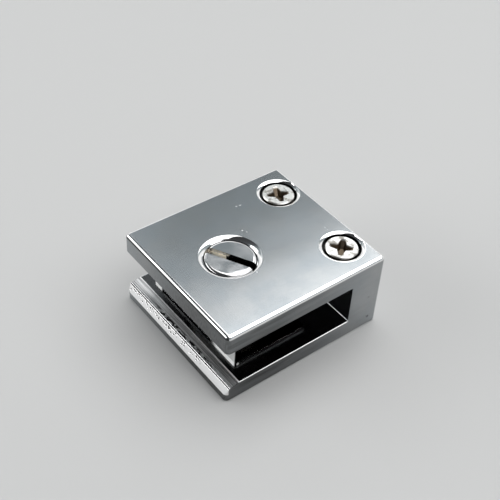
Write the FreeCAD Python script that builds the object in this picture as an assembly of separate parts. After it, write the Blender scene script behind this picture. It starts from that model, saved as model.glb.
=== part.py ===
import FreeCAD, Part
import os

# Glass support bracket: a cast C-shaped clamp with a thick closed heel. A slotted clamp screw in the
# top arm carries a swivelling pressure disc, a clear liner lies on the slot floor, and two fixing
# screws stand in counterbored holes through the heel.
# Millimetres. The origin is the middle of the base, +X runs across the width, +Y from the mouth of
# the slot to the heel, and +Z up.

# Casting
BODY_WIDTH = 36.0
BODY_DEPTH = 40.0
BODY_HEIGHT = 18.3
HEEL_THICKNESS = 8.4
TOP_ARM_THICKNESS = 4.6
BOTTOM_ARM_THICKNESS = 4.15
UPRIGHT_CORNER_RADIUS = 1.0
TOP_EDGE_RADIUS = 0.9
BASE_EDGE_RADIUS = 0.4
SLOT_CORNER_RADIUS = 0.35
SLOT_EDGE_RADIUS = 0.18

# Lip of the bottom arm: a shallow and a steep bevel lead the glass in, with a fine groove between them
LIP_LENGTH = 3.2
LIP_CREASE_LENGTH = 0.9
LIP_INNER_DROP = 0.55
LIP_OUTER_DROP = 1.75
CREASE_GROOVE_DEPTH = 0.2

# Clamp screw: headless, slotted, with a button at its end that the pressure disc snaps over
CLAMP_Y = -6.2
CLAMP_HOLE_RADIUS = 5.5
CLAMP_RIM_RADIUS = 6.25
CLAMP_SCREW_RADIUS = 5.45
CLAMP_TOP_SUNK = 0.35
CLAMP_TOP_ROUNDING = 0.85
CLAMP_SHOULDER_CHAMFER = 0.4
CLAMP_SLOT_WIDTH = 1.75
CLAMP_SLOT_DEPTH = 1.9
CLAMP_SLOT_ANGLE = 28.5
BUTTON_NECK_RADIUS = 2.2
BUTTON_RADIUS = 3.1
BUTTON_THICKNESS = 0.8
BUTTON_CHAMFER = 0.25

# Pressure disc: moulded nylon, with a socket for the button
DISC_RADIUS = 7.5
DISC_THICKNESS = 2.0
DISC_CHAMFER = 0.45
DISC_CEILING_GAP = 0.2
DISC_SHOULDER_GAP = 0.05
DISC_LIP_THICKNESS = 0.6
SOCKET_CLEARANCE = 0.1

# Slot liner: a thin clear plastic sheet on the slot floor
LINER_WIDTH = 28.8
LINER_DEPTH = 18.2
LINER_THICKNESS = 0.9
LINER_CORNER_RADIUS = 0.5
LINER_CHAMFER = 0.2

# Fixing screws and their counterbored holes
FIXING_X = 10.5
FIXING_Y = 14.5
FIXING_HOLE_RADIUS = 2.1
FIXING_BORE_RADIUS = 4.1
FIXING_BORE_DEPTH = 2.5
FIXING_RIM_RADIUS = 4.5
FIXING_EXIT_CHAMFER = 0.3
HEAD_RADIUS = 3.5
HEAD_THICKNESS = 2.25
HEAD_CHAMFER = 0.22
SHANK_RADIUS = 1.75
SHANK_LENGTH = 12.5
SHANK_POINT_LENGTH = 3.2
SHANK_POINT_RADIUS = 0.15
RECESS_DEPTH = 1.5
RECESS_TOP_REACH = 2.6
RECESS_TOP_CORE = 1.85
RECESS_TOP_TIP = 0.9
RECESS_FLOOR_REACH = 1.0
RECESS_FLOOR_CORE = 0.9
RECESS_FLOOR_TIP = 0.6
FIXING_SCREWS = (
    # side of the middle, turn of the cross recess in degrees
    (-1, 68.6),
    (1, 40.9),
)

# Edge broken at the mouth of each hole in the top face, and how far cutters reach past what they cut
HOLE_MOUTH_CHAMFER = 0.25
CUT_MARGIN = 1.0
TOLERANCE = 1e-4

# Derived places
SLOT_FLOOR_Z = BOTTOM_ARM_THICKNESS
SLOT_CEILING_Z = BODY_HEIGHT - TOP_ARM_THICKNESS
MOUTH_Y = -BODY_DEPTH / 2
HEEL_BACK_Y = BODY_DEPTH / 2
HEEL_FACE_Y = HEEL_BACK_Y - HEEL_THICKNESS
LIP_START_Y = MOUTH_Y + LIP_LENGTH
LIP_CREASE_Y = MOUTH_Y + LIP_CREASE_LENGTH
LIP_CREASE_Z = SLOT_FLOOR_Z - LIP_INNER_DROP
LIP_NOSE_Z = LIP_CREASE_Z - LIP_OUTER_DROP
CLAMP_TOP_Z = BODY_HEIGHT - CLAMP_TOP_SUNK
DISC_TOP_Z = SLOT_CEILING_Z - DISC_CEILING_GAP
CLAMP_SHOULDER_Z = DISC_TOP_Z + DISC_SHOULDER_GAP
BUTTON_TOP_Z = DISC_TOP_Z - DISC_LIP_THICKNESS - SOCKET_CLEARANCE
FIXING_SEAT_Z = BODY_HEIGHT - FIXING_BORE_DEPTH

UP = FreeCAD.Vector(0, 0, 1)


def close_to(value, target):
    return abs(value - target) < TOLERANCE


def upright_edges(solid):
    """The straight edges of a solid that run along Z."""
    edges = []
    for edge in solid.Edges:
        box = edge.BoundBox
        if box.XLength < TOLERANCE and box.YLength < TOLERANCE:
            edges.append(edge)
    return edges


def edges_at_height(solid, z):
    """The edges of a solid that lie in the level plane at z."""
    edges = []
    for edge in solid.Edges:
        box = edge.BoundBox
        if close_to(box.ZMin, z) and close_to(box.ZMax, z):
            edges.append(edge)
    return edges


def rounded_block(x_half, y_low, y_high, z_low, z_high, corner_radius):
    """A block, centred across X, with its upright corners rounded."""
    size_x = 2 * x_half
    size_y = y_high - y_low
    size_z = z_high - z_low
    block = Part.makeBox(size_x, size_y, size_z, FreeCAD.Vector(-x_half, y_low, z_low))
    return block.makeFillet(corner_radius, upright_edges(block))


def cylinder(radius, z_low, z_high, x=0.0, y=0.0):
    return Part.makeCylinder(radius, z_high - z_low, FreeCAD.Vector(x, y, z_low), UP)


def cone(radius_low, radius_high, z_low, z_high, x=0.0, y=0.0):
    return Part.makeCone(radius_low, radius_high, z_high - z_low, FreeCAD.Vector(x, y, z_low), UP)


def bar_across_width(outline):
    """A bar along X, wider than the casting, from a closed outline of (y, z) points."""
    x_start = -BODY_WIDTH / 2 - CUT_MARGIN
    points = [FreeCAD.Vector(x_start, y, z) for y, z in outline]
    face = Part.Face(Part.makePolygon(points + points[:1]))
    return face.extrude(FreeCAD.Vector(BODY_WIDTH + 2 * CUT_MARGIN, 0, 0))


def slot_cutter():
    """The space of the glass slot: flat floor and ceiling, heel face, and the two bevels of the lip."""
    outer_slope = LIP_OUTER_DROP / LIP_CREASE_LENGTH
    front_y = MOUTH_Y - CUT_MARGIN
    cutter = bar_across_width([
        (front_y, SLOT_CEILING_Z),
        (HEEL_FACE_Y, SLOT_CEILING_Z),
        (HEEL_FACE_Y, SLOT_FLOOR_Z),
        (LIP_START_Y, SLOT_FLOOR_Z),
        (LIP_CREASE_Y, LIP_CREASE_Z),
        (front_y, LIP_NOSE_Z - CUT_MARGIN * outer_slope),
    ])
    inner_corners = []
    for edge in cutter.Edges:
        box = edge.BoundBox
        if close_to(box.YMin, HEEL_FACE_Y) and box.YLength < TOLERANCE and box.ZLength < TOLERANCE:
            inner_corners.append(edge)
    return cutter.makeFillet(SLOT_CORNER_RADIUS, inner_corners)


def crease_groove():
    """A square bar on edge, which leaves a V groove where the two bevels of the lip meet."""
    low_y = LIP_CREASE_Y - CREASE_GROOVE_DEPTH
    high_y = LIP_CREASE_Y + CREASE_GROOVE_DEPTH
    low_z = LIP_CREASE_Z - CREASE_GROOVE_DEPTH
    high_z = LIP_CREASE_Z + CREASE_GROOVE_DEPTH
    return bar_across_width([
        (low_y, LIP_CREASE_Z), (LIP_CREASE_Y, high_z), (high_y, LIP_CREASE_Z), (LIP_CREASE_Y, low_z)])


def slot_edges(body):
    """The outer edges of the slot: along both sides, and under the front of the top arm."""
    edges = []
    for edge in body.Edges:
        box = edge.BoundBox
        in_slot = box.ZMin > SLOT_FLOOR_Z - TOLERANCE and box.ZMax < SLOT_CEILING_Z + TOLERANCE
        on_side = box.XLength < TOLERANCE and close_to(abs(box.XMin), BODY_WIDTH / 2)
        under_top_arm = close_to(box.ZMin, SLOT_CEILING_Z) and box.YMin < LIP_START_Y
        if in_slot and (on_side or under_top_arm):
            edges.append(edge)
    return edges


def mouth_edges(body):
    """The round edges where the holes open in the top face."""
    edges = []
    for edge in edges_at_height(body, BODY_HEIGHT):
        if isinstance(edge.Curve, Part.Circle) and edge.Curve.Radius > FIXING_BORE_RADIUS:
            edges.append(edge)
    return edges


def chamfered_bore(radius, rim_radius, z_low, x, y):
    """A bore up through the top face, with a 45 degree chamfer that opens it to rim_radius."""
    chamfer_z = BODY_HEIGHT - (rim_radius - radius)
    top_z = BODY_HEIGHT + CUT_MARGIN
    bore = cylinder(radius, z_low, top_z, x, y)
    return bore.fuse(cone(radius, rim_radius + CUT_MARGIN, chamfer_z, top_z, x, y))


def fixing_hole(x):
    bore = chamfered_bore(FIXING_BORE_RADIUS, FIXING_RIM_RADIUS, FIXING_SEAT_Z, x, FIXING_Y)
    shank_hole = cylinder(FIXING_HOLE_RADIUS, -CUT_MARGIN, BODY_HEIGHT, x, FIXING_Y)
    exit_radius = FIXING_HOLE_RADIUS + FIXING_EXIT_CHAMFER
    exit_cone = cone(exit_radius, FIXING_HOLE_RADIUS, 0, FIXING_EXIT_CHAMFER, x, FIXING_Y)
    return bore.fuse([shank_hole, exit_cone])


def bracket_body():
    """The one-piece casting."""
    block = rounded_block(
        BODY_WIDTH / 2, MOUTH_Y, HEEL_BACK_Y, 0, BODY_HEIGHT, UPRIGHT_CORNER_RADIUS)
    block = block.makeFillet(TOP_EDGE_RADIUS, edges_at_height(block, BODY_HEIGHT))
    block = block.makeFillet(BASE_EDGE_RADIUS, edges_at_height(block, 0))
    body = block.cut(slot_cutter())
    body = body.makeFillet(SLOT_EDGE_RADIUS, slot_edges(body))
    body = body.cut(crease_groove())
    holes = [chamfered_bore(CLAMP_HOLE_RADIUS, CLAMP_RIM_RADIUS, SLOT_CEILING_Z - CUT_MARGIN, 0, CLAMP_Y)]
    for side, turn in FIXING_SCREWS:
        holes.append(fixing_hole(side * FIXING_X))
    body = body.cut(holes)
    return body.makeChamfer(HOLE_MOUTH_CHAMFER, mouth_edges(body))


def clamp_screw():
    """The slotted screw: threaded barrel, neck and button."""
    barrel = cylinder(CLAMP_SCREW_RADIUS, CLAMP_SHOULDER_Z, CLAMP_TOP_Z, 0, CLAMP_Y)
    barrel = barrel.makeFillet(CLAMP_TOP_ROUNDING, edges_at_height(barrel, CLAMP_TOP_Z))
    barrel = barrel.makeChamfer(CLAMP_SHOULDER_CHAMFER, edges_at_height(barrel, CLAMP_SHOULDER_Z))
    button_low_z = BUTTON_TOP_Z - BUTTON_THICKNESS
    button = cylinder(BUTTON_RADIUS, button_low_z, BUTTON_TOP_Z, 0, CLAMP_Y)
    button = button.makeChamfer(BUTTON_CHAMFER, edges_at_height(button, button_low_z))
    neck = cylinder(BUTTON_NECK_RADIUS, BUTTON_TOP_Z, CLAMP_SHOULDER_Z, 0, CLAMP_Y)
    screw = barrel.fuse([neck, button])
    slot_length = 2 * (CLAMP_SCREW_RADIUS + CUT_MARGIN)
    corner = FreeCAD.Vector(-slot_length / 2, -CLAMP_SLOT_WIDTH / 2, CLAMP_TOP_Z - CLAMP_SLOT_DEPTH)
    slot = Part.makeBox(slot_length, CLAMP_SLOT_WIDTH, CLAMP_SLOT_DEPTH + CUT_MARGIN, corner)
    slot.rotate(FreeCAD.Vector(0, 0, 0), UP, CLAMP_SLOT_ANGLE)
    slot.translate(FreeCAD.Vector(0, CLAMP_Y, 0))
    return screw.cut(slot).removeSplitter()


def pressure_disc():
    """The disc that presses on the glass, with the socket that snaps over the screw's button."""
    disc_low_z = DISC_TOP_Z - DISC_THICKNESS
    disc = cylinder(DISC_RADIUS, disc_low_z, DISC_TOP_Z, 0, CLAMP_Y)
    rims = edges_at_height(disc, disc_low_z) + edges_at_height(disc, DISC_TOP_Z)
    disc = disc.makeChamfer(DISC_CHAMFER, rims)
    socket_top_z = DISC_TOP_Z - DISC_LIP_THICKNESS
    socket_low_z = BUTTON_TOP_Z - BUTTON_THICKNESS - SOCKET_CLEARANCE
    socket = cylinder(BUTTON_RADIUS + SOCKET_CLEARANCE, socket_low_z, socket_top_z, 0, CLAMP_Y)
    mouth = cylinder(BUTTON_NECK_RADIUS + SOCKET_CLEARANCE, socket_low_z, DISC_TOP_Z, 0, CLAMP_Y)
    return disc.cut(socket.fuse(mouth))


def slot_liner():
    """The thin sheet that the glass lies on, centred under the clamp screw."""
    top_z = SLOT_FLOOR_Z + LINER_THICKNESS
    mouth_y = CLAMP_Y - LINER_DEPTH / 2
    heel_y = CLAMP_Y + LINER_DEPTH / 2
    sheet = rounded_block(LINER_WIDTH / 2, mouth_y, heel_y, SLOT_FLOOR_Z, top_z, LINER_CORNER_RADIUS)
    return sheet.makeChamfer(LINER_CHAMFER, edges_at_height(sheet, top_z))


def cross_outline(reach, core_width, tip_width, z):
    """A closed cross of four arms of the given reach, each narrowing from the core to its tip."""
    core = core_width / 2
    tip = tip_width / 2
    corner_signs = ((1, -1), (1, 1), (-1, 1), (-1, -1))
    points = []
    for x_sign, y_sign in corner_signs:
        along_x = FreeCAD.Vector(x_sign * reach, y_sign * tip, z)
        inner = FreeCAD.Vector(x_sign * core, y_sign * core, z)
        along_y = FreeCAD.Vector(x_sign * tip, y_sign * reach, z)
        if x_sign * y_sign > 0:
            points += [along_x, inner, along_y]
        else:
            points += [along_y, inner, along_x]
    return Part.makePolygon(points + points[:1])


def fixing_screw(x, recess_turn):
    """One fixing screw: flat head with a cross recess, shank and point."""
    head_top_z = FIXING_SEAT_Z + HEAD_THICKNESS
    head = cylinder(HEAD_RADIUS, FIXING_SEAT_Z, head_top_z)
    head = head.makeChamfer(HEAD_CHAMFER, edges_at_height(head, head_top_z))
    tip_z = FIXING_SEAT_Z - SHANK_LENGTH
    point_z = tip_z + SHANK_POINT_LENGTH
    shank = cylinder(SHANK_RADIUS, point_z, FIXING_SEAT_Z)
    point = cone(SHANK_POINT_RADIUS, SHANK_RADIUS, tip_z, point_z)
    recess = Part.makeLoft([
        cross_outline(RECESS_TOP_REACH, RECESS_TOP_CORE, RECESS_TOP_TIP, head_top_z),
        cross_outline(RECESS_FLOOR_REACH, RECESS_FLOOR_CORE, RECESS_FLOOR_TIP, head_top_z - RECESS_DEPTH),
    ], True, True)
    screw = head.fuse([shank, point]).removeSplitter().cut(recess)
    screw.rotate(FreeCAD.Vector(0, 0, 0), UP, recess_turn)
    screw.translate(FreeCAD.Vector(x, FIXING_Y, 0))
    return screw


def fixing_screws():
    return Part.makeCompound([fixing_screw(side * FIXING_X, turn) for side, turn in FIXING_SCREWS])


PIECES = {
    "bracket_body": bracket_body,
    "clamp_screw": clamp_screw,
    "pressure_disc": pressure_disc,
    "slot_liner": slot_liner,
    "fixing_screws": fixing_screws,
}

os.makedirs("parts", exist_ok=True)
for name, make in PIECES.items():
    make().exportStep("parts/" + name + ".step")
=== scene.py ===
import bmesh
import bpy
import math
from mathutils import Matrix, Quaternion, Vector


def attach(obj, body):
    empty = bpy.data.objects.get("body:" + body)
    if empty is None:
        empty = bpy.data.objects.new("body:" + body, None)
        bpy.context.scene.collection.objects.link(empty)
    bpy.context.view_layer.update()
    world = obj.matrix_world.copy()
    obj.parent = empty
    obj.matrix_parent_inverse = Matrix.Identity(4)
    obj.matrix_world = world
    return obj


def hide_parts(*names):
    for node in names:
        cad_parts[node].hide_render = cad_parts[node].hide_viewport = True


# Glass support bracket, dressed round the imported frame. Metres, +Z up, the mouth of the slot towards -Y.
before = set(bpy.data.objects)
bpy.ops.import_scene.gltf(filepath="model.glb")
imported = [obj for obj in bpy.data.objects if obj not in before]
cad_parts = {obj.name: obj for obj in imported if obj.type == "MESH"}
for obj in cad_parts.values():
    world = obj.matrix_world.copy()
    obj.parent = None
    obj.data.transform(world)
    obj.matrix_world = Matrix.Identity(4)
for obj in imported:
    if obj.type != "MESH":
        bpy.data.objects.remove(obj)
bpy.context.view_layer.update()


# Casting
# One C-shaped zinc die casting, with no seam between its top arm, bottom arm and solid heel. It is ground,
# buffed and chrome plated: satin on top, with ground strokes on its sides, and rough with small nicks along
# the lip of the bottom arm. Its sides, slot and bores carry painted shade, and its edges, hole rims and lip
# painted highlights.
JOIN_DISTANCE = 1e-7
FLAT_COSINE = 0.999
FLAT_STEP = math.radians(20)
ROUND_STEP = math.radians(40)

# Where its features are
HALF_WIDTH = 0.018
HALF_DEPTH = 0.020
TOP_Z = 0.0183
TOP_ROUNDING = 0.0009
UPRIGHT_CORNER = 0.0003
SLOT_FLOOR_Z = 0.00415
SLOT_CEILING_Z = 0.0137
SLOT_MOUTH_Y = -0.0168
SLOT_HEEL_Y = 0.0116
SLOT_SIDE_X = 0.0178
LIP_CREASE_Y = -0.0191
LIP_CREASE_Z = 0.0036
LIP_NOSE_Z = 0.00185
CLAMP_Y = -0.0062
FIXING_PLACES = ((-0.0105, 0.0145), (0.0105, 0.0145))
FIXING_BORE_RADIUS = 0.0041
FIXING_RIM_RADIUS = 0.00465
CASTING_HOLES = (
    # axis of the hole, radius of its bore, radius of its bevelled rim
    ((0.0, CLAMP_Y), 0.0055, 0.0064),
    (FIXING_PLACES[0], FIXING_BORE_RADIUS, FIXING_RIM_RADIUS),
    (FIXING_PLACES[1], FIXING_BORE_RADIUS, FIXING_RIM_RADIUS),
)
HOLE_LOW_Z = 0.0140

# How one finish fades into the next
EDGE_BLEND = 0.00008
SLOT_BLEND = 0.0002
NOISE_LOW = 0.3
NOISE_HIGH = 0.7

# Satin plate
CASTING_BRIGHT = (0.455, 0.468, 0.475, 1)
CASTING_COOL = (0.395, 0.422, 0.440, 1)
PLATE_CLOUD_SIZE = 0.008
PLATE_CLOUD_DETAIL = 5.0
PLATE_STROKE_SIZE = 0.00025
PLATE_STROKE_STRETCH = (1, 12, 1)
PLATE_STROKE_DEPTH = 0.0000012
PLATE_GRAIN_SIZE = 0.00018
PLATE_GRAIN_DEPTH = 0.0000010
PLATE_FINE_DETAIL = 4.0
PLATE_WAVE_SIZE = 0.010
PLATE_WAVE_DEPTH = 0.00004
WEAR_FROM_CLOUD = 0.3
WEAR_FROM_STROKES = 0.7
WEAR_LOW = 0.2
WEAR_HIGH = 0.8
CASTING_ROUGHNESS_LOW = 0.18
CASTING_ROUGHNESS_HIGH = 0.22

# Painted shade on the sides, darkest low down and beside the near corner, broken by ground strokes, and a
# painted dark line on the front rounding
CASTING_SIDE_SHADE = (0.062, 0.062, 0.062, 1)
SIDE_SHADE_FROM = -0.002
SIDE_SHADE_TO = 0.029
SIDE_SHADE_LEAST = 0.2
SIDE_SHADE_LOW_Z = 0.0040
SIDE_SHADE_HIGH_Z = 0.0120
SIDE_SHADE_HIGH_SHARE = 0.85
GROUND_STROKE_SIZE = 0.00028
GROUND_STROKE_STRETCH = (1, 40, 4)
GROUND_STROKE_LEAST = 0.74
GROUND_STROKE_MOST = 0.96
SIDE_SHADE_ROUNDING_TOP = 0.6 * TOP_ROUNDING
FRONT_ROUNDING_TOP = 0.32 * TOP_ROUNDING
FRONT_ROUNDING_FULL = 0.42 * TOP_ROUNDING
FRONT_ROUNDING_LOW = 0.8 * TOP_ROUNDING
FRONT_ROUNDING_FROM_Y = 0.5 * TOP_ROUNDING
FRONT_ROUNDING_TO_Y = 0.6 * TOP_ROUNDING

# Buffed edges, painted lighter than the plate as highlights
CASTING_HIGHLIGHT = (0.92, 0.92, 0.92, 1)
TOP_EDGE_INNER = 0.85 * TOP_ROUNDING
TOP_EDGE_ROUGHNESS = 0.13
SLOT_EDGE = 0.00014
RIM_ROUGHNESS = 0.07
RIM_BRIGHT_WIDTH = 0.0002

# Painted shade in the slot and the bores
CASTING_SLOT_SHADE = (0.10, 0.102, 0.105, 1)
CASTING_BORE_SHADE = (0.06, 0.06, 0.06, 1)

# Lip
LIP_ROUGHNESS = 0.42
LIP_DETAIL = 2.0
LIP_STREAK_DARK = (0.36, 0.36, 0.365, 1)
LIP_STREAK_SIZE = 0.00022
LIP_STREAK_STRETCH = (80, 1, 1)
LIP_STREAK_FROM = 0.40
LIP_STREAK_TO = 0.60
LIP_GROOVE_FROM = -0.00009
LIP_GROOVE_DARK = 0.00014
LIP_GROOVE_TO = 0.00025
LIP_GROOVE_BLEND = 0.00003
LIP_ROUGH_SIZE = 0.00045
LIP_ROUGH_STRETCH = (2.5, 1, 1)
LIP_ROUGH_FROM = 0.40
LIP_ROUGH_TO = 0.54
LIP_ROUGH_WIDTH = 0.0008
LIP_ROUGH_FADE = 0.0004
LIP_ROUGH_START_X = -0.0085
LIP_ROUGH_END_X = 0.0105
LIP_NICK_SIZE = 0.00055
LIP_NICK_STRETCH = (1.2, 1, 1)
LIP_NICK_FULL = 0.27
LIP_NICK_END = 0.43
LIP_NICKS_LOW_Z = 0.0024
LIP_NICKS_HIGH_Z = 0.0033
LIP_NICKS_END_X = 0.0070
LIP_FADE = 0.0025
# Dark of the rough band and the nicks, and painted shade in the crease's groove
LIP_MARK_AND_SHADE_DARK = (0.022, 0.022, 0.022, 1)
LIP_MARK_DEPTH = 0.00001
MOUTH_EDGE_WIDTH = 0.0001
MOUTH_EDGE_ROUGHNESS = 0.6

# Pits and scratches
CASTING_PIT_DARK = (0.12, 0.12, 0.125, 1)
CASTING_PITS = (
    # place on the casting, radius, share of it that is dark
    ((0.018, 0.0167, 0.0085), 0.00036, 0.45),
    ((0.018, 0.0173, 0.0024), 0.00042, 1.0),
)
PIT_FULL = 0.35
PIT_DEPTH_SHARE = 0.3
CASTING_SCRATCH_LIGHT = (0.85, 0.87, 0.87, 1)
CASTING_SCRATCHES = (
    # place on the top face, half length, half width, angle from +X
    ((-0.01180, 0.00505, TOP_Z), 0.00042, 0.00011, math.radians(82)),
    ((-0.01193, 0.00415, TOP_Z), 0.00028, 0.00009, math.radians(82)),
    ((-0.00495, 0.00051, TOP_Z), 0.00022, 0.00014, math.radians(20)),
    ((-0.00405, 0.00105, TOP_Z), 0.00018, 0.00010, math.radians(20)),
    ((0.00670, -0.00460, TOP_Z), 0.00030, 0.00012, math.radians(15)),
    ((0.00407, 0.01539, TOP_Z), 0.00015, 0.00011, math.radians(60)),
    ((0.00483, 0.01538, TOP_Z), 0.00012, 0.00010, math.radians(60)),
)
SCRATCH_FULL = 0.4
SCRATCH_ROUGHNESS = 0.6


def joined_copy(node):
    """A bmesh of a CAD node's mesh, with its loose triangles joined."""
    joined = bmesh.new()
    joined.from_mesh(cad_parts[node].data)
    bmesh.ops.remove_doubles(joined, verts=joined.verts, dist=JOIN_DISTANCE)
    return joined


def plain_mesh(built, name):
    """The evaluated mesh of an object whose modifiers are done, which is then removed."""
    graph = bpy.context.evaluated_depsgraph_get()
    mesh = bpy.data.meshes.new_from_object(built.evaluated_get(graph), depsgraph=graph)
    mesh.name = name
    source = built.data
    bpy.data.objects.remove(built)
    if source.users == 0:
        bpy.data.meshes.remove(source)
    return mesh


def shaded_object(name, built, material):
    """An object from a bmesh, shaded so that rounded edges are smooth and flat faces stay flat."""
    for face in built.faces:
        face.smooth = True
    for edge in built.edges:
        beside_flat = any(max(map(abs, face.normal)) > FLAT_COSINE for face in edge.link_faces)
        edge.smooth = edge.calc_face_angle(0.0) < (FLAT_STEP if beside_flat else ROUND_STEP)
    mesh = bpy.data.meshes.new(name)
    built.to_mesh(mesh)
    built.free()
    if "custom_normal" in mesh.attributes:
        mesh.attributes.remove(mesh.attributes["custom_normal"])
    rough = bpy.data.objects.new(name + "_unweighted", mesh)
    bpy.context.scene.collection.objects.link(rough)
    weighted = rough.modifiers.new("flat faces stay flat", "WEIGHTED_NORMAL")
    weighted.keep_sharp = True
    finished = plain_mesh(rough, name)
    finished.materials.clear()
    finished.materials.append(material)
    shown = bpy.data.objects.new(name, finished)
    bpy.context.scene.collection.objects.link(shown)
    return shown


class Finish:
    """A material's node tree, with short calls for the nodes that these finishes use."""

    def __init__(self, name):
        self.material = bpy.data.materials.new(name)
        self.material.use_nodes = True
        self.nodes = self.material.node_tree.nodes
        self.links = self.material.node_tree.links
        self.shader = self.nodes["Principled BSDF"]
        self.place = self.nodes.new("ShaderNodeTexCoord").outputs["Object"]

    def link(self, value, socket):
        """Feeds a socket from another socket, or sets it to a plain value."""
        if isinstance(value, bpy.types.NodeSocket):
            self.links.new(value, socket)
        else:
            socket.default_value = value

    def texture(self, kind, size, stretch):
        """A texture node whose features are about size metres across, longer where stretch is above 1."""
        mapping = self.nodes.new("ShaderNodeMapping")
        mapping.inputs["Scale"].default_value = [1 / (size * along) for along in stretch]
        self.links.new(self.place, mapping.inputs["Vector"])
        node = self.nodes.new(kind)
        node.inputs["Scale"].default_value = 1.0
        self.links.new(mapping.outputs["Vector"], node.inputs["Vector"])
        return node

    def noise(self, size, detail=3.0, stretch=(1, 1, 1)):
        """Soft noise from 0 to 1, mostly between NOISE_LOW and NOISE_HIGH."""
        node = self.texture("ShaderNodeTexNoise", size, stretch)
        node.inputs["Detail"].default_value = detail
        return node.outputs["Fac"]

    def scatter(self, size, stretch=(1, 1, 1)):
        """Distance from the nearest of many scattered points, as a share of size."""
        return self.texture("ShaderNodeTexVoronoi", size, stretch).outputs["Distance"]

    def spread(self, value, low, high, to_low=0.0, to_high=1.0):
        """Maps a value from low..high to to_low..to_high, smoothly and clamped."""
        node = self.nodes.new("ShaderNodeMapRange")
        node.interpolation_type = "SMOOTHSTEP"
        for name, number in (("From Min", low), ("From Max", high), ("To Min", to_low), ("To Max", to_high)):
            node.inputs[name].default_value = number
        self.links.new(value, node.inputs["Value"])
        return node.outputs["Result"]

    def above(self, value, limit, blend):
        """0 up to the limit, 1 from a blend beyond it."""
        return self.spread(value, limit, limit + blend)

    def below(self, value, limit, blend):
        """1 up to the limit, 0 from a blend beyond it."""
        return self.spread(value, limit, limit + blend, 1.0, 0.0)

    def math(self, operation, first, second=0.0):
        node = self.nodes.new("ShaderNodeMath")
        node.operation = operation
        self.link(first, node.inputs[0])
        self.link(second, node.inputs[1])
        return node.outputs["Value"]

    def product(self, *shares):
        """All the shares multiplied."""
        total = shares[0]
        for share in shares[1:]:
            total = self.math("MULTIPLY", total, share)
        return total

    def blend(self, share, first, second):
        """The colour first where share is 0, second where it is 1."""
        node = self.nodes.new("ShaderNodeMix")
        node.data_type = "RGBA"
        self.link(share, node.inputs["Factor"])
        self.link(first, node.inputs["A"])
        self.link(second, node.inputs["B"])
        return node.outputs["Result"]

    def between(self, share, first, second):
        """The number first where share is 0, second where it is 1."""
        return self.math("ADD", self.math("MULTIPLY", share, self.math("SUBTRACT", second, first)), first)

    def parts(self, vector):
        """The x, y and z of a vector."""
        node = self.nodes.new("ShaderNodeSeparateXYZ")
        self.links.new(vector, node.inputs["Vector"])
        return node.outputs["X"], node.outputs["Y"], node.outputs["Z"]

    def axes(self):
        """The x, y and z of the surface point, in metres."""
        return self.parts(self.place)

    def local(self, point, size=(1, 1, 1), turn=0.0):
        """The surface point as seen from a point, in units of size, with axes turned about Z."""
        node = self.nodes.new("ShaderNodeMapping")
        node.vector_type = "TEXTURE"
        node.inputs["Location"].default_value = point
        node.inputs["Rotation"].default_value = (0, 0, turn)
        node.inputs["Scale"].default_value = size
        self.links.new(self.place, node.inputs["Vector"])
        return node.outputs["Vector"]

    def length(self, vector):
        node = self.nodes.new("ShaderNodeVectorMath")
        node.operation = "LENGTH"
        self.links.new(vector, node.inputs[0])
        return node.outputs["Value"]

    def reach(self, x, y, axis_x, axis_y):
        """Distance from an upright axis, in metres."""
        across = self.math("SUBTRACT", x, axis_x)
        along = self.math("SUBTRACT", y, axis_y)
        across_squared = self.math("MULTIPLY", across, across)
        along_squared = self.math("MULTIPLY", along, along)
        return self.math("SQRT", self.math("ADD", across_squared, along_squared))

    def bump(self, height, depth, before=None):
        """Relief of the given depth in metres, on top of the relief before it."""
        node = self.nodes.new("ShaderNodeBump")
        node.inputs["Strength"].default_value = 1.0
        node.inputs["Distance"].default_value = depth
        self.links.new(height, node.inputs["Height"])
        if before:
            self.links.new(before, node.inputs["Normal"])
        return node.outputs["Normal"]


def satin_plate(finish):
    """Colour, roughness and relief of the plate where nothing has changed it."""
    cloud = finish.spread(finish.noise(PLATE_CLOUD_SIZE, PLATE_CLOUD_DETAIL), NOISE_LOW, NOISE_HIGH)
    strokes = finish.noise(PLATE_STROKE_SIZE, PLATE_FINE_DETAIL, PLATE_STROKE_STRETCH)
    wear = finish.math(
        "ADD",
        finish.math("MULTIPLY", cloud, WEAR_FROM_CLOUD),
        finish.math("MULTIPLY", strokes, WEAR_FROM_STROKES),
    )
    colour = finish.blend(cloud, CASTING_COOL, CASTING_BRIGHT)
    roughness = finish.spread(wear, WEAR_LOW, WEAR_HIGH, CASTING_ROUGHNESS_HIGH, CASTING_ROUGHNESS_LOW)
    relief = finish.bump(finish.noise(PLATE_WAVE_SIZE, detail=0.0), PLATE_WAVE_DEPTH)
    relief = finish.bump(strokes, PLATE_STROKE_DEPTH, relief)
    relief = finish.bump(finish.noise(PLATE_GRAIN_SIZE, PLATE_FINE_DETAIL), PLATE_GRAIN_DEPTH, relief)
    return colour, roughness, relief


def side_shade(finish, from_border, from_top):
    """Share of the painted shade on the sides, darkest beside the near corner and low down, broken by ground
    strokes.
    """
    x, y, z = finish.axes()
    strokes = finish.noise(GROUND_STROKE_SIZE, stretch=GROUND_STROKE_STRETCH)
    return finish.product(
        finish.below(from_border, UPRIGHT_CORNER, EDGE_BLEND),
        finish.spread(from_top, SIDE_SHADE_ROUNDING_TOP, TOP_ROUNDING),
        finish.spread(finish.math("SUBTRACT", x, y), SIDE_SHADE_FROM, SIDE_SHADE_TO, SIDE_SHADE_LEAST, 1.0),
        finish.spread(z, SIDE_SHADE_LOW_Z, SIDE_SHADE_HIGH_Z, 1.0, SIDE_SHADE_HIGH_SHARE),
        finish.spread(strokes, NOISE_LOW, NOISE_HIGH, GROUND_STROKE_LEAST, GROUND_STROKE_MOST),
    )


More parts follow.
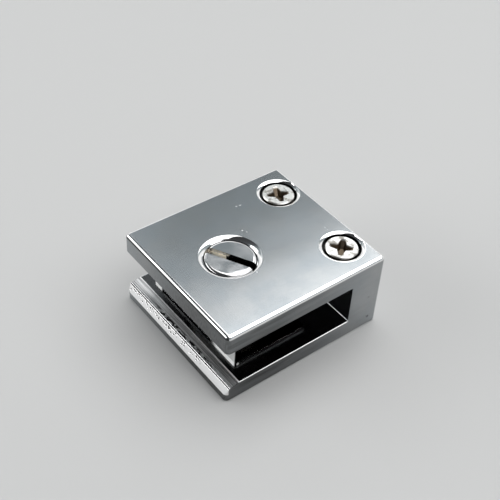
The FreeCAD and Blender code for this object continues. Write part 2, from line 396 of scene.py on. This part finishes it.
def front_rounding_shade(finish, from_top):
    """Share of the front edge's rounding that carries a painted dark line under the top face."""
    from_front = finish.math("ADD", finish.axes()[1], HALF_DEPTH)
    return finish.product(
        finish.spread(from_front, FRONT_ROUNDING_FROM_Y, FRONT_ROUNDING_TO_Y, 1.0, 0.0),
        finish.spread(from_top, FRONT_ROUNDING_TOP, FRONT_ROUNDING_FULL),
        finish.spread(from_top, FRONT_ROUNDING_LOW, TOP_ROUNDING, 1.0, 0.0),
    )


def highlighted_top_edge(finish, from_border, from_top):
    """Share of the rounding round the top face, buffed smoother and painted light as a highlight."""
    return finish.product(
        finish.spread(from_border, TOP_EDGE_INNER, TOP_ROUNDING, 1.0, 0.0),
        finish.spread(from_top, SIDE_SHADE_ROUNDING_TOP, TOP_ROUNDING, 1.0, 0.0),
    )


def highlighted_floor_edge(finish, from_side):
    """Share of the two edges where the slot floor meets the sides, painted light as a highlight."""
    y, z = finish.axes()[1:]
    from_floor = finish.math("ABSOLUTE", finish.math("SUBTRACT", z, SLOT_FLOOR_Z))
    return finish.product(
        finish.below(from_side, SLOT_EDGE, EDGE_BLEND),
        finish.below(from_floor, SLOT_EDGE, EDGE_BLEND),
        finish.above(y, SLOT_MOUTH_Y - EDGE_BLEND, EDGE_BLEND),
        finish.below(y, SLOT_HEEL_Y, EDGE_BLEND),
    )


def slot_shade(finish):
    """Share of the slot's own walls, which carry painted shade."""
    x, y, z = finish.axes()
    return finish.product(
        finish.above(z, SLOT_FLOOR_Z - 2 * SLOT_BLEND, SLOT_BLEND),
        finish.below(z, SLOT_CEILING_Z, SLOT_BLEND),
        finish.above(y, SLOT_MOUTH_Y, SLOT_BLEND),
        finish.below(y, SLOT_HEEL_Y - SLOT_BLEND, SLOT_BLEND),
        finish.below(finish.math("ABSOLUTE", x), SLOT_SIDE_X - SLOT_BLEND, SLOT_BLEND),
    )


def hole_finish(finish, colour, roughness):
    """Rims buffed and painted light as highlights, and bores painted dark as shade."""
    x, y, z = finish.axes()
    in_top_arm = finish.above(z, HOLE_LOW_Z, SLOT_BLEND)
    for (hole_x, hole_y), bore_radius, rim_radius in CASTING_HOLES:
        reach = finish.reach(x, y, hole_x, hole_y)
        rim = finish.product(in_top_arm, finish.below(reach, rim_radius + RIM_BRIGHT_WIDTH, EDGE_BLEND))
        bore_shade = finish.product(in_top_arm, finish.below(reach, bore_radius, EDGE_BLEND))
        # Painted highlight on the rim and painted shade in the bore.
        colour = finish.blend(rim, colour, CASTING_HIGHLIGHT)
        colour = finish.blend(bore_shade, colour, CASTING_BORE_SHADE)
        roughness = finish.between(rim, roughness, RIM_ROUGHNESS)
    return colour, roughness


def lip_finish(finish, from_side, colour, roughness, relief):
    """A lip painted lighter as a highlight: nicks outside its crease, painted shade in its groove, rolled
    streaks and a rough dark band inside it.
    """
    x, y, z = finish.axes()
    up_to_floor = finish.below(z, SLOT_FLOOR_Z, SLOT_BLEND)
    between_sides = finish.above(from_side, 0.0, EDGE_BLEND)
    lip = finish.product(
        finish.below(y, SLOT_MOUTH_Y - EDGE_BLEND, EDGE_BLEND),
        finish.above(z, LIP_NOSE_Z, EDGE_BLEND),
        up_to_floor,
        between_sides,
    )
    inward = finish.math("SUBTRACT", y, LIP_CREASE_Y)
    outside = finish.product(lip, finish.below(inward, -EDGE_BLEND, EDGE_BLEND))
    inside = finish.product(lip, finish.above(inward, LIP_GROOVE_TO, EDGE_BLEND))
    rolled = finish.noise(LIP_STREAK_SIZE, LIP_DETAIL, LIP_STREAK_STRETCH)
    streaks = finish.product(inside, finish.spread(rolled, LIP_STREAK_FROM, LIP_STREAK_TO))
    # The lip is painted lighter than the plate as a highlight.
    colour = finish.blend(lip, colour, CASTING_HIGHLIGHT)
    colour = finish.blend(streaks, colour, LIP_STREAK_DARK)
    roughness = finish.between(lip, roughness, RIM_ROUGHNESS)
    roughness = finish.between(inside, roughness, LIP_ROUGHNESS)

    from_mouth = finish.math("ABSOLUTE", finish.math("SUBTRACT", y, SLOT_MOUTH_Y))
    mouth_edge = finish.product(
        finish.below(from_mouth, MOUTH_EDGE_WIDTH, EDGE_BLEND),
        finish.above(z, LIP_CREASE_Z, EDGE_BLEND),
        up_to_floor,
        between_sides,
    )
    # Painted highlight: a rough light line along the mouth's edge.
    colour = finish.blend(mouth_edge, colour, CASTING_HIGHLIGHT)
    roughness = finish.between(mouth_edge, roughness, MOUTH_EDGE_ROUGHNESS)

    # Painted shade in the crease's groove.
    groove_shade = finish.product(
        lip,
        finish.above(inward, LIP_GROOVE_FROM - LIP_GROOVE_BLEND, LIP_GROOVE_BLEND),
        finish.below(inward, LIP_GROOVE_DARK, LIP_GROOVE_BLEND),
    )
    patches = finish.noise(LIP_ROUGH_SIZE, LIP_DETAIL, LIP_ROUGH_STRETCH)
    rough_band = finish.product(
        inside,
        finish.below(inward, LIP_ROUGH_WIDTH, LIP_ROUGH_FADE),
        finish.above(x, LIP_ROUGH_START_X - LIP_FADE, LIP_FADE),
        finish.below(x, LIP_ROUGH_END_X, LIP_FADE),
        finish.spread(patches, LIP_ROUGH_FROM, LIP_ROUGH_TO),
    )
    dots = finish.scatter(LIP_NICK_SIZE, LIP_NICK_STRETCH)
    nicks = finish.product(
        outside,
        finish.above(z, LIP_NICKS_LOW_Z, EDGE_BLEND),
        finish.below(z, LIP_NICKS_HIGH_Z, EDGE_BLEND),
        finish.below(x, LIP_NICKS_END_X, LIP_FADE),
        finish.spread(dots, LIP_NICK_FULL, LIP_NICK_END, 1.0, 0.0),
    )
    # The groove's painted shade, the rough band and the nicks are painted dark and sunk a little.
    for marks in (groove_shade, rough_band, nicks):
        colour = finish.blend(marks, colour, LIP_MARK_AND_SHADE_DARK)
        relief = finish.bump(marks, -LIP_MARK_DEPTH, relief)
    return colour, roughness, relief


def small_marks(finish, colour, roughness, relief):
    """Dark pits on the right side and light scratches on the top face."""
    for point, radius, share in CASTING_PITS:
        from_pit = finish.length(finish.local(point, [radius] * 3))
        pit = finish.spread(from_pit, PIT_FULL, 1.0, share, 0.0)
        colour = finish.blend(pit, colour, CASTING_PIT_DARK)
        relief = finish.bump(pit, -PIT_DEPTH_SHARE * radius, relief)
    for point, half_length, half_width, angle in CASTING_SCRATCHES:
        from_scratch = finish.length(finish.local(point, (half_length, half_width, half_width), angle))
        scratch = finish.spread(from_scratch, SCRATCH_FULL, 1.0, 1.0, 0.0)
        colour = finish.blend(scratch, colour, CASTING_SCRATCH_LIGHT)
        roughness = finish.between(scratch, roughness, SCRATCH_ROUGHNESS)
    return colour, roughness, relief


def casting_finish():
    finish = Finish("satin chrome casting")
    x, y, z = finish.axes()
    from_side = finish.math("SUBTRACT", HALF_WIDTH, finish.math("ABSOLUTE", x))
    from_end = finish.math("SUBTRACT", HALF_DEPTH, finish.math("ABSOLUTE", y))
    from_border = finish.math("MINIMUM", from_side, from_end)
    from_top = finish.math("SUBTRACT", TOP_Z, z)
    top_edge = highlighted_top_edge(finish, from_border, from_top)

    colour, roughness, relief = satin_plate(finish)
    # Painted shade: the sides are painted darker, most low down and beside the near corner.
    colour = finish.blend(side_shade(finish, from_border, from_top), colour, CASTING_SIDE_SHADE)
    # Painted highlights: the top edge and the slot floor's edges are painted lighter than the plate.
    colour = finish.blend(top_edge, colour, CASTING_HIGHLIGHT)
    colour = finish.blend(highlighted_floor_edge(finish, from_side), colour, CASTING_HIGHLIGHT)
    # Painted shade: a dark line along the lower part of the front rounding.
    colour = finish.blend(front_rounding_shade(finish, from_top), colour, CASTING_SIDE_SHADE)
    roughness = finish.between(top_edge, roughness, TOP_EDGE_ROUGHNESS)
    # Painted shade on the slot's walls.
    colour = finish.blend(slot_shade(finish), colour, CASTING_SLOT_SHADE)
    colour, roughness = hole_finish(finish, colour, roughness)
    colour, roughness, relief = lip_finish(finish, from_side, colour, roughness, relief)
    colour, roughness, relief = small_marks(finish, colour, roughness, relief)

    finish.shader.inputs["Metallic"].default_value = 1.0
    finish.link(colour, finish.shader.inputs["Base Color"])
    finish.link(roughness, finish.shader.inputs["Roughness"])
    finish.link(relief, finish.shader.inputs["Normal"])
    return finish.material


casting = shaded_object("casting", joined_copy("bracket_body"), casting_finish())
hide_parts("bracket_body")
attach(casting, "bracket")


# Slot liner
# A thin, clear, soft plastic sheet, stuck to the slot floor so that the glass never lies on metal.
# Both ends of its front edge carry painted light: white, rough and opaque wedges, and a painted glint on the
# right edge.
LINER_CLEAR = (0.90, 0.91, 0.89, 1)
LINER_LIT_WHITE = (0.96, 0.96, 0.95, 1)
LINER_NEAR_LIGHT_FROM_X = 0.0060
LINER_NEAR_LIGHT_TO_X = 0.0090
LINER_FAR_LIGHT_FROM_X = -0.0113
LINER_FAR_LIGHT_TO_X = -0.0119
LINER_LIGHT_CORNER = (0.0141, -0.0153)
LINER_LIGHT_SLANT = (0.635, 0.772)
LINER_LIGHT_BLEND = 0.0003
LINER_LIT_ROUGHNESS = 0.35
LINER_GLINT_PLACE = (0.0144, -0.0145, 0.00458)
LINER_GLINT_RADIUS = 0.0004
LINER_GLINT_FULL = 0.6
LINER_GLINT_SHARE = 0.7
LINER_HAZE_SIZE = 0.0035
LINER_HAZE_LOW = 0.35
LINER_ROUGHNESS_LOW = 0.05
LINER_ROUGHNESS_HIGH = 0.12
LINER_IOR = 1.2
LINER_SPECULAR = 0.3
LINER_RIPPLE_SIZE = 0.0009
LINER_RIPPLE_DEPTH = 0.000003


def liner_painted_light(finish):
    """Share of the painted light: a slanted wedge of painted reflection at each front corner, and a painted
    glint on the right edge.
    """
    x, y = finish.axes()[:2]
    corner_x, corner_y = LINER_LIGHT_CORNER
    slant_x, slant_y = LINER_LIGHT_SLANT
    from_corner_x = finish.math("SUBTRACT", finish.math("ABSOLUTE", x), corner_x)
    from_corner_y = finish.math("SUBTRACT", y, corner_y)
    inward = finish.math(
        "ADD",
        finish.math("MULTIPLY", from_corner_x, slant_x),
        finish.math("MULTIPLY", from_corner_y, slant_y),
    )
    near_end = finish.spread(x, LINER_NEAR_LIGHT_FROM_X, LINER_NEAR_LIGHT_TO_X)
    far_end = finish.spread(x, LINER_FAR_LIGHT_TO_X, LINER_FAR_LIGHT_FROM_X, 1.0, 0.0)
    wedges = finish.product(
        finish.math("MAXIMUM", near_end, far_end),
        finish.below(inward, 0.0, LINER_LIGHT_BLEND),
    )
    from_glint = finish.length(finish.local(LINER_GLINT_PLACE, [LINER_GLINT_RADIUS] * 3))
    glint = finish.spread(from_glint, LINER_GLINT_FULL, 1.0, LINER_GLINT_SHARE, 0.0)
    return finish.math("MAXIMUM", wedges, glint)


def liner_finish():
    finish = Finish("clear soft plastic")
    shader = finish.shader
    painted_light = liner_painted_light(finish)
    haze = finish.spread(
        finish.noise(LINER_HAZE_SIZE), LINER_HAZE_LOW, NOISE_HIGH, LINER_ROUGHNESS_LOW, LINER_ROUGHNESS_HIGH,
    )
    # Painted light: where it lies, the sheet is white, rough and not clear.
    finish.link(finish.blend(painted_light, LINER_CLEAR, LINER_LIT_WHITE), shader.inputs["Base Color"])
    finish.link(finish.between(painted_light, haze, LINER_LIT_ROUGHNESS), shader.inputs["Roughness"])
    finish.link(finish.math("SUBTRACT", 1.0, painted_light), shader.inputs["Transmission Weight"])
    shader.inputs["IOR"].default_value = LINER_IOR
    shader.inputs["Specular IOR Level"].default_value = LINER_SPECULAR
    finish.link(finish.bump(finish.noise(LINER_RIPPLE_SIZE), LINER_RIPPLE_DEPTH), shader.inputs["Normal"])
    return finish.material


liner = shaded_object("slot_liner_sheet", joined_copy("slot_liner"), liner_finish())
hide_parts("slot_liner")
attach(liner, "bracket")


# Fixing screws
# Two nickel-plated steel wood screws with flat heads and cross recesses. They are cold headed and
# thread rolled, and stand in the counterbored holes of the heel.
FIXING_SHANK_RADIUS = 0.00175
FIXING_CORE_RADIUS = 0.0013
FIXING_HEAD_TOP_Z = 0.01805
FIXING_THREAD_TOP_Z = 0.0148
FIXING_POINT_Z = 0.0065
FIXING_PITCH = 0.0013
THREAD_RUNOUT = 0.00004
THREAD_STEPS_PER_TURN = 48
THREAD_SECTION_CORNERS = 4
NICKEL_BRIGHT = (0.93, 0.92, 0.89, 1)
NICKEL_STAINED = (0.38, 0.36, 0.33, 1)
NICKEL_STAIN_SIZE = 0.0013
NICKEL_STAIN_DETAIL = 4.0
NICKEL_STAIN_FROM = 0.46
NICKEL_STAIN_TO = 0.66
NICKEL_BRIGHT_ROUGHNESS = 0.28
NICKEL_STAINED_ROUGHNESS = 0.36
# Painted shade below the head's top face, in the cross recess and down the screw
NICKEL_RECESS_SHADE = (0.14, 0.11, 0.08, 1)
RECESS_DARK_DEPTH = 0.0004
RECESS_LIGHT_DEPTH = 0.00003
NICKEL_WAVE_SIZE = 0.0012
NICKEL_WAVE_DETAIL = 2.0
NICKEL_WAVE_DEPTH = 0.00002
NICKEL_GRAIN_SIZE = 0.00012
NICKEL_GRAIN_DEPTH = 0.000002


def thread_tree():
    """A helical ridge: a spiral path with a square section on edge, so that half of it stands proud."""
    tree = bpy.data.node_groups.new("screw thread", "GeometryNodeTree")
    tree.is_modifier = True
    inputs = (
        ("Start Radius", "NodeSocketFloat"),
        ("End Radius", "NodeSocketFloat"),
        ("Height", "NodeSocketFloat"),
        ("Turns", "NodeSocketFloat"),
        ("Ridge", "NodeSocketFloat"),
        ("Start", "NodeSocketVector"),
        ("Finish", "NodeSocketMaterial"),
    )
    for name, kind in inputs:
        tree.interface.new_socket(name, in_out="INPUT", socket_type=kind)
    tree.interface.new_socket("Geometry", in_out="OUTPUT", socket_type="NodeSocketGeometry")
    nodes, links = tree.nodes, tree.links
    given = nodes.new("NodeGroupInput")
    made = nodes.new("NodeGroupOutput")
    path = nodes.new("GeometryNodeCurveSpiral")
    path.inputs["Resolution"].default_value = THREAD_STEPS_PER_TURN
    links.new(given.outputs["Turns"], path.inputs["Rotations"])
    for name in ("Start Radius", "End Radius", "Height"):
        links.new(given.outputs[name], path.inputs[name])
    upright = nodes.new("GeometryNodeSetCurveNormal")
    upright.mode = "Z_UP"
    section = nodes.new("GeometryNodeCurvePrimitiveCircle")
    section.inputs["Resolution"].default_value = THREAD_SECTION_CORNERS
    links.new(given.outputs["Ridge"], section.inputs["Radius"])
    sweep = nodes.new("GeometryNodeCurveToMesh")
    sweep.inputs["Fill Caps"].default_value = True
    place = nodes.new("GeometryNodeTransform")
    links.new(given.outputs["Start"], place.inputs["Translation"])
    real = nodes.new("GeometryNodeRealizeInstances")
    paint = nodes.new("GeometryNodeSetMaterial")
    links.new(given.outputs["Finish"], paint.inputs["Material"])
    links.new(path.outputs["Curve"], upright.inputs["Curve"])
    links.new(upright.outputs["Curve"], sweep.inputs["Curve"])
    links.new(section.outputs["Curve"], sweep.inputs["Profile Curve"])
    links.new(sweep.outputs["Mesh"], place.inputs["Geometry"])
    links.new(place.outputs["Geometry"], real.inputs["Geometry"])
    links.new(real.outputs["Geometry"], paint.inputs["Geometry"])
    links.new(paint.outputs["Geometry"], made.inputs["Geometry"])
    return tree


THREAD_TREE = thread_tree()


def thread_ridge(name, sizes):
    """A bmesh of one thread ridge, from the tree's named inputs."""
    carrier = bpy.data.objects.new(name, bpy.data.meshes.new(name))
    bpy.context.scene.collection.objects.link(carrier)
    ridge = carrier.modifiers.new("thread", "NODES")
    ridge.node_group = THREAD_TREE
    for item in THREAD_TREE.interface.items_tree:
        if item.in_out == "INPUT" and item.name in sizes:
            ridge[item.identifier] = sizes[item.name]
    mesh = plain_mesh(carrier, name)
    built = bmesh.new()
    built.from_mesh(mesh)
    bpy.data.meshes.remove(mesh)
    return built


def add_to(built, extra):
    """Puts a second bmesh into the first, as a shell of its own."""
    mesh = bpy.data.meshes.new("shell")
    extra.to_mesh(mesh)
    extra.free()
    built.from_mesh(mesh)
    bpy.data.meshes.remove(mesh)


def waist(built, axis_x, axis_y, low_z, high_z, radius, core_radius, step):
    """Turns a round shank down to core_radius between low_z and high_z, to leave room for a thread."""
    for z in (low_z, low_z + step, high_z - step, high_z):
        geometry = built.verts[:] + built.edges[:] + built.faces[:]
        bmesh.ops.bisect_plane(
            built, geom=geometry, plane_co=(0, 0, z), plane_no=(0, 0, 1), dist=JOIN_DISTANCE,
        )
    for vert in built.verts:
        out = Vector((vert.co.x - axis_x, vert.co.y - axis_y))
        inside = low_z + step / 2 < vert.co.z < high_z - step / 2
        if inside and radius - step < out.length < radius + step:
            out *= core_radius / radius
            vert.co.x = axis_x + out.x
            vert.co.y = axis_y + out.y


def cut_thread(built, name, axis, low_z, high_z, radius, core_radius, pitch, material):
    """Gives a round shank a thread between low_z and high_z, within its own radius."""
    axis_x, axis_y = axis
    waist(built, axis_x, axis_y, low_z, high_z, radius, core_radius, THREAD_RUNOUT)
    ridge_depth = radius - core_radius
    thread_height = high_z - low_z - 2 * ridge_depth
    add_to(built, thread_ridge(name, {
        "Start Radius": core_radius,
        "End Radius": core_radius,
        "Height": thread_height,
        "Turns": thread_height / pitch,
        "Ridge": ridge_depth,
        "Start": (axis_x, axis_y, low_z + ridge_depth),
        "Finish": material,
    }))


def nickel_finish():
    finish = Finish("bright nickel plate")
    shader = finish.shader
    shader.inputs["Metallic"].default_value = 1.0
    z = finish.axes()[2]
    stain = finish.spread(
        finish.noise(NICKEL_STAIN_SIZE, NICKEL_STAIN_DETAIL), NICKEL_STAIN_FROM, NICKEL_STAIN_TO,
    )
    colour = finish.blend(stain, NICKEL_BRIGHT, NICKEL_STAINED)
    # Painted shade: darker below the head's top face, in the cross recess and down the shank.
    recess_shade = finish.spread(
        z, FIXING_HEAD_TOP_Z - RECESS_DARK_DEPTH, FIXING_HEAD_TOP_Z - RECESS_LIGHT_DEPTH, 1.0, 0.0,
    )
    roughness = finish.spread(stain, 0.0, 1.0, NICKEL_BRIGHT_ROUGHNESS, NICKEL_STAINED_ROUGHNESS)
    relief = finish.bump(finish.noise(NICKEL_WAVE_SIZE, NICKEL_WAVE_DETAIL), NICKEL_WAVE_DEPTH)
    relief = finish.bump(finish.noise(NICKEL_GRAIN_SIZE), NICKEL_GRAIN_DEPTH, relief)
    finish.link(finish.blend(recess_shade, colour, NICKEL_RECESS_SHADE), shader.inputs["Base Color"])
    finish.link(roughness, shader.inputs["Roughness"])
    finish.link(relief, shader.inputs["Normal"])
    return finish.material


bright_nickel = nickel_finish()
screws = joined_copy("fixing_screws")
for fixing_place in FIXING_PLACES:
    cut_thread(screws, "shank thread", fixing_place, FIXING_POINT_Z, FIXING_THREAD_TOP_Z,
               FIXING_SHANK_RADIUS, FIXING_CORE_RADIUS, FIXING_PITCH, bright_nickel)
fixing = shaded_object("fixing_screw_pair", screws, bright_nickel)
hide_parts("fixing_screws")
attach(fixing, "bracket")


# Pressure disc
# A moulded white nylon disc that snaps over the button of the clamp screw and swivels on it, so that
# it presses on the glass without turning.
NYLON_COLOUR = (0.80, 0.79, 0.75, 1)
NYLON_WORN = (0.70, 0.685, 0.64, 1)
NYLON_WEAR_SIZE = 0.003
NYLON_WEAR_LOW = 0.4
NYLON_ROUGHNESS = 0.42
NYLON_WORN_ROUGHNESS = 0.55
NYLON_SUBSURFACE = 0.1
NYLON_SUBSURFACE_RADIUS = (0.001, 0.001, 0.0008)
NYLON_GRAIN_SIZE = 0.0002
NYLON_GRAIN_DEPTH = 0.000008


def nylon_finish():
    finish = Finish("white nylon")
    shader = finish.shader
    worn = finish.spread(finish.noise(NYLON_WEAR_SIZE), NYLON_WEAR_LOW, NOISE_HIGH)
    roughness = finish.spread(worn, 0.0, 1.0, NYLON_ROUGHNESS, NYLON_WORN_ROUGHNESS)
    finish.link(finish.blend(worn, NYLON_COLOUR, NYLON_WORN), shader.inputs["Base Color"])
    finish.link(roughness, shader.inputs["Roughness"])
    shader.inputs["Subsurface Weight"].default_value = NYLON_SUBSURFACE
    shader.inputs["Subsurface Radius"].default_value = NYLON_SUBSURFACE_RADIUS
    finish.link(finish.bump(finish.noise(NYLON_GRAIN_SIZE), NYLON_GRAIN_DEPTH), shader.inputs["Normal"])
    return finish.material


disc = shaded_object("nylon_pressure_disc", joined_copy("pressure_disc"), nylon_finish())
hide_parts("pressure_disc")
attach(disc, "pressure_foot")


# Clamp screw
# A headless steel screw, turned and chrome plated, with a driver slot and a rounded rim. Its fine
# thread runs in the top arm, 1 mm a turn, and the button at its end carries the pressure disc.
CLAMP_RADIUS = 0.00545
CLAMP_CORE_RADIUS = 0.00507
CLAMP_PITCH = 0.001
CLAMP_THREAD_LOW_Z = 0.01405
CLAMP_THREAD_HIGH_Z = 0.0159
CLAMP_BRIGHT = (0.70, 0.705, 0.71, 1)
CLAMP_DULL = (0.60, 0.60, 0.605, 1)
CLAMP_CLOUD_SIZE = 0.004
CLAMP_CLOUD_LOW = 0.35
CLAMP_ROUGHNESS_LOW = 0.10
CLAMP_ROUGHNESS_HIGH = 0.2
CLAMP_SLOT_ANGLE = math.radians(28.5)
CLAMP_SLOT_FLOOR_Z = 0.01605
CLAMP_SLOT_DEEP_Z = 0.0170
CLAMP_SLOT_FADE = 0.0004
# Painted reflection in the driver slot: light at its left end, dark beyond
CLAMP_SLOT_REFLECTION = (0.95, 0.90, 0.82, 1)
CLAMP_SLOT_SHADE = (0.02, 0.019, 0.018, 1)
CLAMP_REFLECTION_END = -0.0013
CLAMP_WAVE_SIZE = 0.003
CLAMP_WAVE_DETAIL = 1.0
CLAMP_WAVE_DEPTH = 0.00002
CLAMP_GRAIN_SIZE = 0.00015
CLAMP_GRAIN_DEPTH = 0.0000012


def clamp_finish():
    finish = Finish("bright chrome plate")
    shader = finish.shader
    shader.inputs["Metallic"].default_value = 1.0
    z = finish.axes()[2]
    cloud = finish.spread(finish.noise(CLAMP_CLOUD_SIZE), CLAMP_CLOUD_LOW, NOISE_HIGH)
    colour = finish.blend(cloud, CLAMP_BRIGHT, CLAMP_DULL)
    # The driver slot carries a painted reflection, light at its left end and dark beyond it.
    along_slot = finish.parts(finish.local((0, CLAMP_Y, CLAMP_SLOT_FLOOR_Z), turn=CLAMP_SLOT_ANGLE))[0]
    reflected = finish.below(along_slot, CLAMP_REFLECTION_END - EDGE_BLEND, 2 * EDGE_BLEND)
    in_slot = finish.below(z, CLAMP_SLOT_DEEP_Z, CLAMP_SLOT_FADE)
    slot_colour = finish.blend(reflected, CLAMP_SLOT_SHADE, CLAMP_SLOT_REFLECTION)
    roughness = finish.spread(cloud, 0.0, 1.0, CLAMP_ROUGHNESS_LOW, CLAMP_ROUGHNESS_HIGH)
    relief = finish.bump(finish.noise(CLAMP_WAVE_SIZE, CLAMP_WAVE_DETAIL), CLAMP_WAVE_DEPTH)
    relief = finish.bump(finish.noise(CLAMP_GRAIN_SIZE), CLAMP_GRAIN_DEPTH, relief)
    finish.link(finish.blend(in_slot, colour, slot_colour), shader.inputs["Base Color"])
    finish.link(roughness, shader.inputs["Roughness"])
    finish.link(relief, shader.inputs["Normal"])
    return finish.material


bright_chrome = clamp_finish()
spindle = joined_copy("clamp_screw")
cut_thread(spindle, "clamp thread", (0, CLAMP_Y), CLAMP_THREAD_LOW_Z, CLAMP_THREAD_HIGH_Z,
           CLAMP_RADIUS, CLAMP_CORE_RADIUS, CLAMP_PITCH, bright_chrome)
clamp = shaded_object("slotted_clamp_screw", spindle, bright_chrome)
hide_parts("clamp_screw")
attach(clamp, "clamp_spindle")


# Floor
# A plain pale matt sheet under the part, large enough to fill every view. Beyond the lamps' reach it
# keeps its tone, for the camera and for what mirrors it.
FLOOR_SIZE = 6.0
FLOOR_COLOUR = (0.58, 0.58, 0.575, 1)
FLOOR_ROUGHNESS = 0.7
FLOOR_FAR_COLOUR = (0.56, 0.56, 0.555, 1)
FLOOR_LIT_RADIUS = 0.15
FLOOR_FAR_RADIUS = 0.60


def floor_finish():
    finish = Finish("pale floor")
    finish.shader.inputs["Base Color"].default_value = FLOOR_COLOUR
    finish.shader.inputs["Roughness"].default_value = FLOOR_ROUGHNESS
    rays = finish.nodes.new("ShaderNodeLightPath").outputs
    mirrored = finish.math("MAXIMUM", rays["Is Glossy Ray"], rays["Is Transmission Ray"])
    far_share = finish.product(
        finish.spread(finish.length(finish.place), FLOOR_LIT_RADIUS, FLOOR_FAR_RADIUS),
        finish.math("MAXIMUM", rays["Is Camera Ray"], mirrored),
    )
    far_tone = finish.nodes.new("ShaderNodeEmission")
    far_tone.inputs["Color"].default_value = FLOOR_FAR_COLOUR
    near_to_far = finish.nodes.new("ShaderNodeMixShader")
    finish.link(far_share, near_to_far.inputs["Fac"])
    finish.link(finish.shader.outputs["BSDF"], near_to_far.inputs[1])
    finish.link(far_tone.outputs["Emission"], near_to_far.inputs[2])
    finish.link(near_to_far.outputs["Shader"], finish.nodes["Material Output"].inputs["Surface"])
    return finish.material


sheet = bmesh.new()
bmesh.ops.create_grid(sheet, x_segments=1, y_segments=1, size=FLOOR_SIZE / 2)
floor_mesh = bpy.data.meshes.new("floor")
sheet.to_mesh(floor_mesh)
sheet.free()
floor_mesh.materials.append(floor_finish())
floor = bpy.data.objects.new("floor", floor_mesh)
bpy.context.scene.collection.objects.link(floor)


# Studio light
# One wide soft box above and behind, whose left edge fades across the top face and whose right end runs
# over the rounded edge there, a faint small one at the left, and one low at the front left for the lip.
# The surround is pale low down and dark overhead.
SOFT_BOXES = (
    # name, direction from the part, distance, width, height, turn about that direction, watts
    ("top box", (0.12, 0.35, 0.93), 0.60, 1.03, 0.74, 0.07, 4.75),
    ("side box", (-0.82, 0.15, 0.55), 0.60, 0.30, 0.30, 0.0, 0.09),
    ("left box", (-0.57, -0.76, 0.28), 0.60, 0.60, 0.36, 0.0, 2.3),
)
SURROUND_AXIS = (0.20, -0.17, 0.965)
SURROUND = (
    # place along the axis, from 0 behind it to 1 ahead of it, colour
    (0.0, (0.75, 0.75, 0.75, 1)),
    (0.57, (0.98, 0.98, 0.98, 1)),
    (0.63, (0.31, 0.345, 0.36, 1)),
    (0.77, (0.24, 0.275, 0.29, 1)),
    (0.83, (0.07, 0.075, 0.08, 1)),
    (1.0, (0.04, 0.04, 0.04, 1)),
)
PART_MIDDLE = Vector((0, 0, 0.009))

for name, direction, distance, width, height, turn, watts in SOFT_BOXES:
    lamp = bpy.data.lights.new(name, "AREA")
    lamp.shape = "RECTANGLE"
    lamp.size = width
    lamp.size_y = height
    lamp.energy = watts
    box = bpy.data.objects.new(name, lamp)
    outward = Vector(direction).normalized()
    box.location = PART_MIDDLE + distance * outward
    box.rotation_mode = "QUATERNION"
    box.rotation_quaternion = (-outward).to_track_quat("-Z", "Y") @ Quaternion((0, 0, 1), turn)
    box.visible_camera = False
    bpy.context.scene.collection.objects.link(box)

world = bpy.data.worlds.new("studio")
world.use_nodes = True
bpy.context.scene.world = world
world_nodes = world.node_tree.nodes
world_links = world.node_tree.links
seen_direction = world_nodes.new("ShaderNodeTexCoord").outputs["Generated"]
along_axis = world_nodes.new("ShaderNodeVectorMath")
along_axis.operation = "DOT_PRODUCT"
along_axis.inputs[1].default_value = Vector(SURROUND_AXIS).normalized()
world_links.new(seen_direction, along_axis.inputs[0])
place_on_axis = world_nodes.new("ShaderNodeMapRange")
place_on_axis.inputs["From Min"].default_value = -1.0
world_links.new(along_axis.outputs["Value"], place_on_axis.inputs["Value"])
sky = world_nodes.new("ShaderNodeValToRGB")
stops = sky.color_ramp.elements
while len(stops) < len(SURROUND):
    stops.new(1.0)
for stop, (stop_place, stop_colour) in zip(stops, SURROUND):
    stop.position = stop_place
    stop.color = stop_colour
world_links.new(place_on_axis.outputs["Result"], sky.inputs["Fac"])
world_links.new(sky.outputs["Color"], world_nodes["Background"].inputs["Color"])


# Camera
# Stands where the photograph was taken from, above the near corner, slightly tilted.
CAMERA_AZIMUTH = math.radians(50.58)
CAMERA_ELEVATION = math.radians(42.12)
CAMERA_ROLL = math.radians(3.31)
CAMERA_DISTANCE = 0.19779
CAMERA_SHIFT_LEFT = 0.00059
CAMERA_SHIFT_UP = 0.00578
CAMERA_LENS = 67.58
CAMERA_SENSOR = 36.0
CAMERA_CLIP_START = 0.005

towards_camera = Vector((
    math.sin(CAMERA_AZIMUTH) * math.cos(CAMERA_ELEVATION),
    -math.cos(CAMERA_AZIMUTH) * math.cos(CAMERA_ELEVATION),
    math.sin(CAMERA_ELEVATION),
))
level_right = Vector((0, 0, 1)).cross(towards_camera).normalized()
level_up = towards_camera.cross(level_right)
right = math.cos(CAMERA_ROLL) * level_right + math.sin(CAMERA_ROLL) * level_up
up = math.cos(CAMERA_ROLL) * level_up - math.sin(CAMERA_ROLL) * level_right
lens = bpy.data.cameras.new("camera")
lens.lens = CAMERA_LENS
lens.sensor_width = CAMERA_SENSOR
lens.clip_start = CAMERA_CLIP_START
camera = bpy.data.objects.new("camera", lens)
camera_shift = CAMERA_SHIFT_UP * up - CAMERA_SHIFT_LEFT * right
camera_place = PART_MIDDLE + CAMERA_DISTANCE * towards_camera + camera_shift
camera_turn = Matrix((right, up, towards_camera)).transposed().to_4x4()
camera.matrix_world = Matrix.Translation(camera_place) @ camera_turn
bpy.context.scene.collection.objects.link(camera)
bpy.context.scene.camera = camera

bpy.context.scene.view_settings.view_transform = "Standard"
